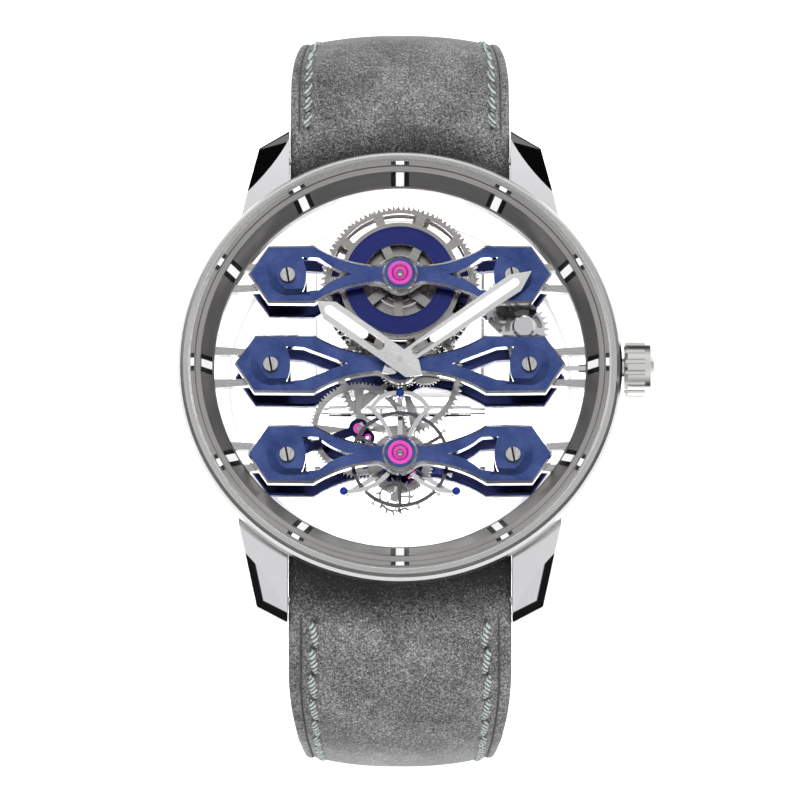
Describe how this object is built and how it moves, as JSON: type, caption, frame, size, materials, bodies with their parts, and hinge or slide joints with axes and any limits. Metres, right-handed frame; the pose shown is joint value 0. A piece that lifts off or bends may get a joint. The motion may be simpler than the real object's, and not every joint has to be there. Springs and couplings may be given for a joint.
{
  "type": "wristwatch",
  "caption": "Round skeleton wristwatch with slim arrow-headed bridges, an open tourbillon cage, faceted hands, fluted crown and a padded leather strap on a folding clasp.",
  "frame": {"origin": "centre of the flat case-back face", "axes": "+Z out of the dial towards the viewer, +Y towards 12 o'clock, +X towards 3 o'clock and the crown"},
  "size_m": [0.0471, 0.0754, 0.0629],
  "materials": {
    "case_titanium": "fine brushed grey titanium with polished edges",
    "crystal_glass": "clear polished, anti-reflective",
    "seal_nylon": "pale smooth nylon seal",
    "marker_dark": "dark satin blocks",
    "lume_white": "matt luminous white",
    "bridge_blue": "satin blue coating, polished silver bevels",
    "bridge_navy": "polished near-black navy coating",
    "barrel_blue": "satin blue coating with polished lips",
    "screw_blue": "tempered blue steel",
    "polished_steel": "polished",
    "steel_satin": "satin, fine brushed",
    "rotor_metal": "dark satin",
    "cage_white": "mirror polished",
    "balance_dark": "dark polished",
    "hand_steel": "faceted, satin and polished",
    "ruby": "polished magenta ruby",
    "pallet_ruby": "polished pink ruby and steel lever",
    "strap_leather": "soft grey nubuck, stitched",
    "clasp_steel": "polished"
  },
  "bodies": {
    "case": {"case_middle": "case_titanium", "bezel": "case_titanium", "flange_ring": "case_titanium", "marker_holders": "marker_dark", "marker_lume": "lume_white", "crystal": "crystal_glass", "case_gaskets": "seal_nylon", "case_back_ring": "case_titanium", "case_back_crystal": "crystal_glass", "crown_tube": "polished_steel", "spring_bars": "polished_steel", "upper_front_bridge": "bridge_blue", "middle_front_bridge": "bridge_blue", "lower_front_bridge": "bridge_blue", "upper_rear_bridge": "bridge_navy", "middle_rear_bridge": "bridge_navy", "lower_rear_bridge": "bridge_navy", "bridge_pillars": "steel_satin", "bridge_screws": "polished_steel", "front_jewels": "ruby", "rear_jewels": "ruby", "third_wheel_cock": "bridge_navy", "movement_supports": "steel_satin", "keyless_plate": "steel_satin", "fixed_fourth_wheel": "steel_satin"},
    "barrel": {"barrel_drum": "steel_satin", "barrel_ring": "barrel_blue", "mainspring": "polished_steel"},
    "ratchet": {"ratchet_wheel": "steel_satin", "barrel_arbor": "polished_steel"},
    "rotor": {"micro_rotor": "rotor_metal"},
    "crown_wheel": {"crown_wheel": "polished_steel"},
    "transmission": {"transmission_wheel": "polished_steel"},
    "winding_pinion": {"winding_pinion": "polished_steel"},
    "crown": {"crown": "polished_steel", "stem": "polished_steel"},
    "centre": {"centre_wheel": "steel_satin"},
    "third": {"third_wheel": "steel_satin"},
    "cage": {"cage_base": "polished_steel", "cage_bridge": "cage_white", "cage_screws": "screw_blue", "hairspring": "screw_blue"},
    "balance": {"balance_wheel": "balance_dark", "balance_screws": "polished_steel"},
    "escape": {"escape_wheel": "steel_satin"},
    "fork": {"pallet_fork": "pallet_ruby"},
    "minute": {"cannon_pinion": "polished_steel", "minute_hand": "hand_steel", "minute_hand_lume": "lume_white"},
    "minute_wheel": {"minute_wheel": "steel_satin"},
    "hour": {"hour_wheel": "polished_steel", "hour_hand": "hand_steel", "hour_hand_lume": "lume_white"},
    "strap_12": {"strap_12": "strap_leather"},
    "strap_6": {"strap_6": "strap_leather"},
    "clasp_cover": {"clasp_cover": "clasp_steel"},
    "clasp_long_blade": {"clasp_long_blade": "clasp_steel"},
    "clasp_short_blade": {"clasp_short_blade": "clasp_steel"},
    "button_left": {"clasp_button_left": "clasp_steel"},
    "button_right": {"clasp_button_right": "clasp_steel"}
  },
  "joints": [
    {"name": "crown_turn", "type": "hinge", "parent": "case", "child": "winding_pinion", "pos_m": [0.0144, 0, 0.0074], "axis": [1, 0, 0], "continuous": true},
    {"name": "crown_pull", "type": "slide", "parent": "winding_pinion", "child": "crown", "axis": [1, 0, 0], "range_m": [0, 0.0012]},
    {"name": "crown_wheel_turn", "type": "hinge", "parent": "case", "child": "crown_wheel", "pos_m": [0.0123, 0.0047, 0.0052], "axis": [0, 0, 1], "continuous": true},
    {"name": "transmission_turn", "type": "hinge", "parent": "case", "child": "transmission", "pos_m": [0.00919, 0.00721, 0.0052], "axis": [0, 0, 1], "continuous": true},
    {"name": "ratchet_turn", "type": "hinge", "parent": "case", "child": "ratchet", "pos_m": [0, 0.0092, 0.0052], "axis": [0, 0, 1], "continuous": true},
    {"name": "rotor_turn", "type": "hinge", "parent": "case", "child": "rotor", "pos_m": [0, 0.0092, 0.00205], "axis": [0, 0, 1], "continuous": true},
    {"name": "barrel_turn", "type": "hinge", "parent": "case", "child": "barrel", "pos_m": [0, 0.0092, 0.00575], "axis": [0, 0, 1], "continuous": true},
    {"name": "centre_turn", "type": "hinge", "parent": "case", "child": "centre", "pos_m": [0, 0, 0.005], "axis": [0, 0, 1], "continuous": true},
    {"name": "third_turn", "type": "hinge", "parent": "case", "child": "third", "pos_m": [-0.00409, -0.00568, 0.005], "axis": [0, 0, 1], "continuous": true},
    {"name": "cage_turn", "type": "hinge", "parent": "case", "child": "cage", "pos_m": [0, -0.0092, 0.00595], "axis": [0, 0, 1], "continuous": true},
    {"name": "escape_turn", "type": "hinge", "parent": "cage", "child": "escape", "pos_m": [-0.0005, -0.01276, 0.00615], "axis": [0, 0, 1], "continuous": true},
    {"name": "fork_rock", "type": "hinge", "parent": "cage", "child": "fork", "pos_m": [0.0013, -0.01037, 0.00615], "axis": [0, 0, 1], "range_deg": [-5, 5]},
    {"name": "balance_swing", "type": "hinge", "parent": "cage", "child": "balance", "pos_m": [0, -0.0092, 0.0069], "axis": [0, 0, 1], "range_deg": [-150, 150]},
    {"name": "minute_hand_turn", "type": "hinge", "parent": "case", "child": "minute", "pos_m": [0, 0, 0.0101], "axis": [0, 0, 1], "continuous": true},
    {"name": "minute_wheel_turn", "type": "hinge", "parent": "case", "child": "minute_wheel", "pos_m": [0.0025, 0, 0.0078], "axis": [0, 0, 1], "continuous": true},
    {"name": "hour_hand_turn", "type": "hinge", "parent": "case", "child": "hour", "pos_m": [0, 0, 0.0107], "axis": [0, 0, 1], "continuous": true},
    {"name": "strap_12_pivot", "type": "hinge", "parent": "case", "child": "strap_12", "pos_m": [0, 0.0227, 0.0032], "axis": [1, 0, 0], "range_deg": [0, 45]},
    {"name": "strap_6_pivot", "type": "hinge", "parent": "case", "child": "strap_6", "pos_m": [0, -0.0227, 0.0032], "axis": [1, 0, 0], "range_deg": [-45, 0]},
    {"name": "clasp_cover_pivot", "type": "hinge", "parent": "strap_6", "child": "clasp_cover", "pos_m": [0, -0.01367, -0.04565], "axis": [1, 0, 0], "range_deg": [-60, 0]},
    {"name": "clasp_long_blade_pivot", "type": "hinge", "parent": "clasp_cover", "child": "clasp_long_blade", "pos_m": [0, 0.01001, -0.04663], "axis": [1, 0, 0], "range_deg": [-75, 0]},
    {"name": "clasp_short_blade_pivot", "type": "hinge", "parent": "clasp_long_blade", "child": "clasp_short_blade", "pos_m": [0, -0.0081, -0.04653], "axis": [1, 0, 0], "range_deg": [0, 110]},
    {"name": "button_left_press", "type": "slide", "parent": "clasp_cover", "child": "button_left", "axis": [1, 0, 0], "range_m": [0, 0.0005], "stiffness_N_per_m": 300},
    {"name": "button_right_press", "type": "slide", "parent": "clasp_cover", "child": "button_right", "axis": [-1, 0, 0], "range_m": [0, 0.0005], "stiffness_N_per_m": 300}
  ],
  "couplings": [
    {"joint": "crown_wheel_turn", "follows": "crown_turn", "ratio": -0.5},
    {"joint": "transmission_turn", "follows": "crown_turn", "ratio": 0.75},
    {"joint": "ratchet_turn", "follows": "crown_turn", "ratio": -0.15385},
    {"joint": "third_turn", "follows": "cage_turn", "ratio": -0.125},
    {"joint": "centre_turn", "follows": "cage_turn", "ratio": 0.016667},
    {"joint": "barrel_turn", "follows": "cage_turn", "ratio": -0.0035088},
    {"joint": "escape_turn", "follows": "cage_turn", "ratio": 8},
    {"joint": "minute_wheel_turn", "follows": "minute_hand_turn", "ratio": -0.33333},
    {"joint": "hour_hand_turn", "follows": "minute_hand_turn", "ratio": 0.083333}
  ]
}
